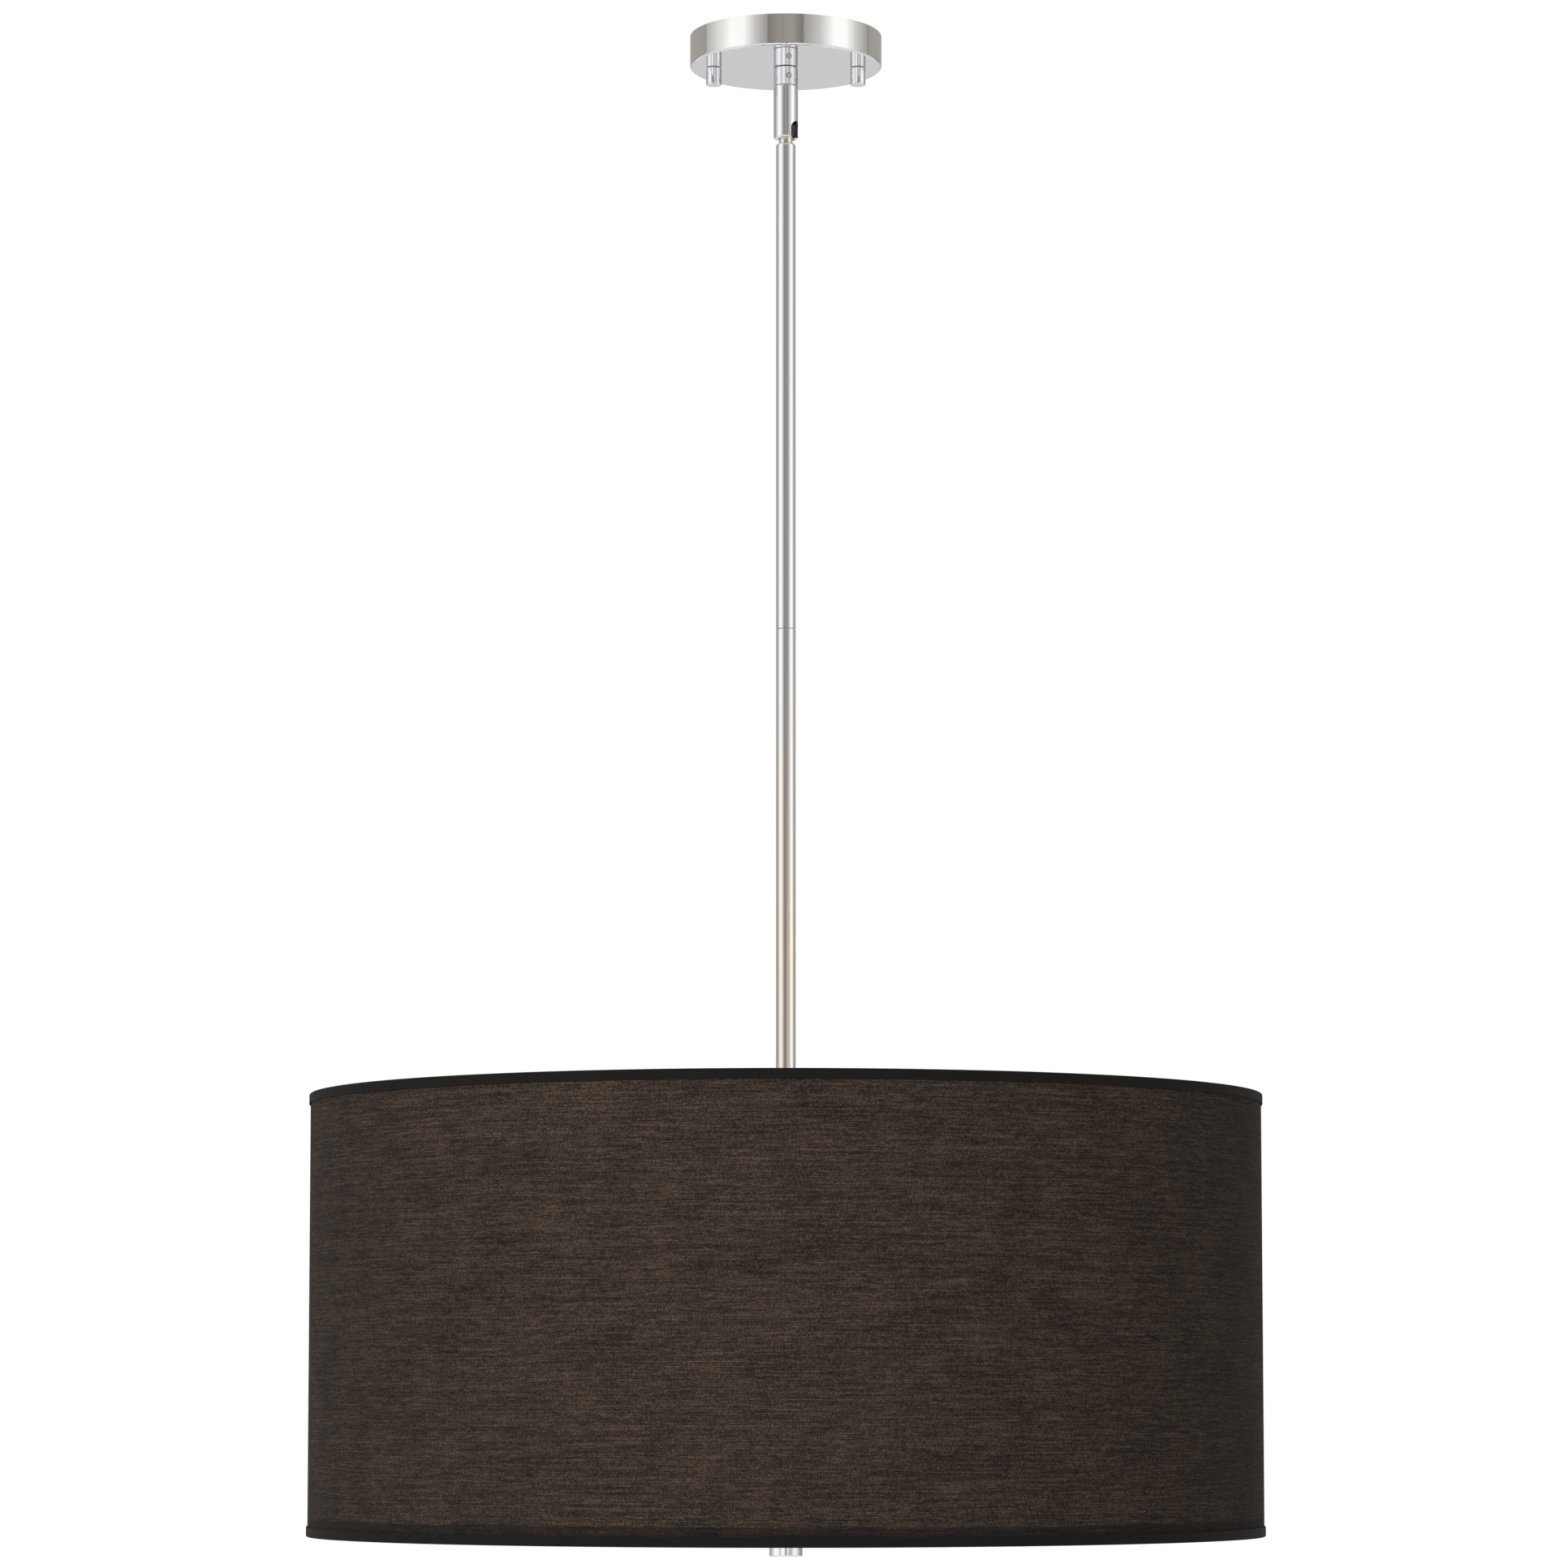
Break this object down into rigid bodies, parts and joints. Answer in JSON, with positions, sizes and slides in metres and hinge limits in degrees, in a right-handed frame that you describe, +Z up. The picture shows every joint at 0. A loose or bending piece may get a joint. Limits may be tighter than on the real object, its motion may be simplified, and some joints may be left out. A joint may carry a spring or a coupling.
{
  "type": "drum chandelier",
  "caption": "Fabric drum shade with an opal diffuser round downward lamps, hung from a flat round canopy by a slotted ball swivel and a straight jointed rod.",
  "frame": {"origin": "middle of the crossbar's top face, in the ceiling plane, on the axis of the rods", "axes": "+Z up out of the ceiling face along the rods' axis, +X along the crossbar towards the knob on the picture's right, +Y away from the picture's camera"},
  "size_m": [0.6096, 0.6096, 0.9866],
  "materials": {
    "chrome": "polished chrome plate",
    "satin_nickel": "satin nickel plate, slightly warm",
    "zinc_steel": "zinc plated steel",
    "brass": "plain turned brass",
    "ground_green": "green dyed zinc",
    "shade_fabric": "dark brown slubby woven fabric, matt",
    "hem_fabric": "black folded fabric tape",
    "white_styrene": "white matt styrene sheet",
    "white_enamel": "white powder coat on steel wire",
    "opal_acrylic": "opal white acrylic, satin",
    "phenolic": "black moulded phenolic",
    "bulb_glass": "soft white coated bulb on a nickel screw base",
    "black_insulation": "black wire insulation",
    "white_insulation": "white wire insulation",
    "green_insulation": "green wire insulation",
    "wire_nut_plastic": "orange moulded plastic"
  },
  "bodies": {
    "ceiling_mount": {"crossbar": "zinc_steel", "ground_screw": "ground_green", "mount_stud_left": "zinc_steel", "mount_stud_right": "zinc_steel", "stud_nut_left": "zinc_steel", "stud_nut_right": "zinc_steel", "canopy": "chrome", "canopy_washer": "zinc_steel", "nipple_locknut": "brass", "swivel_nipple": "brass", "swivel_collar": "chrome", "collar_set_screw": "satin_nickel", "canopy_lead_hot": "black_insulation", "canopy_lead_neutral": "white_insulation", "ground_lead": "green_insulation", "wire_nut_hot": "wire_nut_plastic", "wire_nut_neutral": "wire_nut_plastic"},
    "knob_left": {"knob_left": "chrome"},
    "knob_right": {"knob_right": "chrome"},
    "swivel": {"swivel_housing": "chrome", "thrust_washer": "satin_nickel"},
    "stem_and_shade": {"ball_stud": "satin_nickel", "stud_nipple": "brass", "upper_rod": "chrome", "rod_coupler": "brass", "lower_rod": "chrome", "stem_cord": "black_insulation", "cluster_nipple": "brass", "hub_washer": "zinc_steel", "shade_spider": "white_enamel", "bottom_ring": "white_enamel", "shade_liner": "white_styrene", "shade_fabric": "shade_fabric", "top_hem": "hem_fabric", "bottom_hem": "hem_fabric", "cluster_body": "chrome", "cluster_nut": "brass", "cluster_cover": "chrome", "socket_arm_1": "chrome", "socket_arm_2": "chrome", "socket_arm_3": "chrome", "socket_arm_4": "chrome", "lamp_socket_1": "phenolic", "lamp_socket_2": "phenolic", "lamp_socket_3": "phenolic", "lamp_socket_4": "phenolic", "centre_rod": "zinc_steel", "rod_nut_upper": "brass", "rod_nut_lower": "brass", "stop_nut": "brass", "stop_washer": "zinc_steel"},
    "bulb_1": {"bulb_1": "bulb_glass"},
    "bulb_2": {"bulb_2": "bulb_glass"},
    "bulb_3": {"bulb_3": "bulb_glass"},
    "bulb_4": {"bulb_4": "bulb_glass"},
    "diffuser": {"diffuser": "opal_acrylic", "finial_washer": "chrome"},
    "finial": {"finial": "chrome"}
  },
  "joints": [
    {"name": "swivel_turn", "type": "hinge", "parent": "ceiling_mount", "child": "swivel", "pos_m": [0, 0, -0.05], "axis": [0, 0, 1], "range_deg": [-165, 165]},
    {"name": "swivel_tilt", "type": "hinge", "parent": "swivel", "child": "stem_and_shade", "pos_m": [0, 0, -0.0615], "axis": [-0.4695, -0.8829, 0], "range_deg": [0, 90]},
    {"name": "diffuser_lower", "type": "slide", "parent": "stem_and_shade", "child": "diffuser", "axis": [0, 0, -1], "range_m": [0, 0.25]},
    {"name": "finial_turn", "type": "hinge", "parent": "diffuser", "child": "finial", "pos_m": [0, 0, -0.98], "axis": [0, 0, 1], "continuous": true},
    {"name": "knob_left_turn", "type": "hinge", "parent": "ceiling_mount", "child": "knob_left", "pos_m": [-0.047, 0, -0.0266], "axis": [0, 0, 1], "continuous": true},
    {"name": "knob_right_turn", "type": "hinge", "parent": "ceiling_mount", "child": "knob_right", "pos_m": [0.047, 0, -0.0266], "axis": [0, 0, 1], "continuous": true},
    {"name": "bulb_1_turn", "type": "hinge", "parent": "stem_and_shade", "child": "bulb_1", "pos_m": [0.08485, -0.08485, -0.8], "axis": [0, 0, 1], "continuous": true},
    {"name": "bulb_2_turn", "type": "hinge", "parent": "stem_and_shade", "child": "bulb_2", "pos_m": [0.08485, 0.08485, -0.8], "axis": [0, 0, 1], "continuous": true},
    {"name": "bulb_3_turn", "type": "hinge", "parent": "stem_and_shade", "child": "bulb_3", "pos_m": [-0.08485, 0.08485, -0.8], "axis": [0, 0, 1], "continuous": true},
    {"name": "bulb_4_turn", "type": "hinge", "parent": "stem_and_shade", "child": "bulb_4", "pos_m": [-0.08485, -0.08485, -0.8], "axis": [0, 0, 1], "continuous": true}
  ]
}
